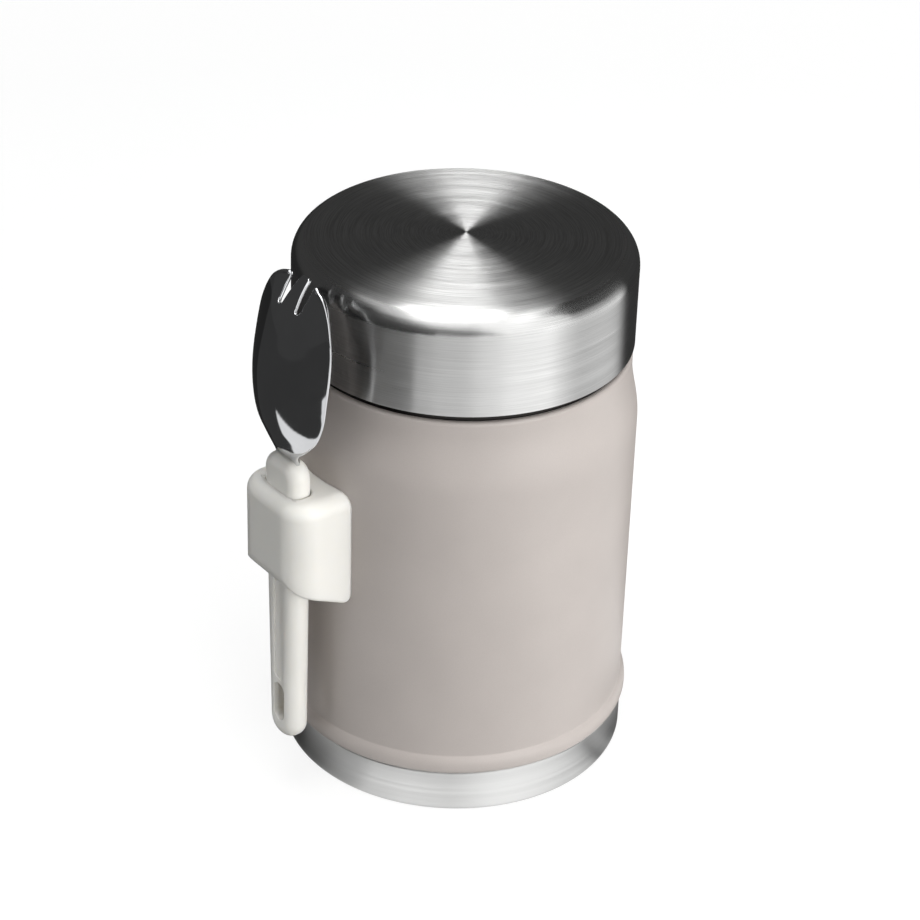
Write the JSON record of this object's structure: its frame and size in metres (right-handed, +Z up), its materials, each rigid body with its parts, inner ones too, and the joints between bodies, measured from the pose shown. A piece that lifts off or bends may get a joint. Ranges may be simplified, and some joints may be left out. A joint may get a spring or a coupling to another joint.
{
  "type": "insulated food jar",
  "caption": "Vacuum insulated food jar with a lift-off screw lid and a spork that slides upright into a holder on its side.",
  "frame": {"origin": "the point on the jar's axis at the height of the ring that it rests on", "axes": "+Z up along the jar's axis; the holder and the spork stand on the -X side; +Y completes the right-handed frame"},
  "size_m": [0.1063, 0.0926, 0.1455],
  "materials": {
    "coated_steel": "warm grey powder coat, satin",
    "brushed_steel": "brushed round the axis, bare",
    "satin_steel": "satin, bare",
    "polished_steel": "mirror-polished stainless steel",
    "screw_steel": "turned",
    "solder": "dull solder bead",
    "copper_foil": "bright copper foil",
    "getter_alloy": "pressed powder, matt",
    "cream_plastic": "warm white, fine satin",
    "holder_plastic": "moulded, matt",
    "liner_plastic": "moulded, satin",
    "foam": "rigid insulating foam",
    "gasket_silicone": "soft grey silicone"
  },
  "bodies": {
    "jar": {"outer_shell": "coated_steel", "neck_ring": "satin_steel", "base_cup": "brushed_steel", "base_disc": "satin_steel", "vacuum_seal": "solder", "inner_flask": "satin_steel", "flask_dish": "satin_steel", "foil_wrap": "copper_foil", "getter": "getter_alloy", "getter_clip": "satin_steel", "holder_plate": "satin_steel", "holder_carrier": "holder_plastic", "holder_screws": "screw_steel", "holder_block": "cream_plastic"},
    "lid": {"lid_shell": "brushed_steel", "lid_liner": "liner_plastic", "lid_foam": "foam", "lid_inner_cover": "satin_steel", "lid_gasket": "gasket_silicone"},
    "spork": {"spork_head": "polished_steel", "spork_handle": "cream_plastic", "tang_pins": "screw_steel"}
  },
  "joints": [
    {"name": "lid_lift", "type": "slide", "parent": "jar", "child": "lid", "axis": [0, 0, 1], "range_m": [0, 0.04]},
    {"name": "spork_draw", "type": "slide", "parent": "jar", "child": "spork", "axis": [0, 0, 1], "range_m": [0, 0.08]}
  ]
}
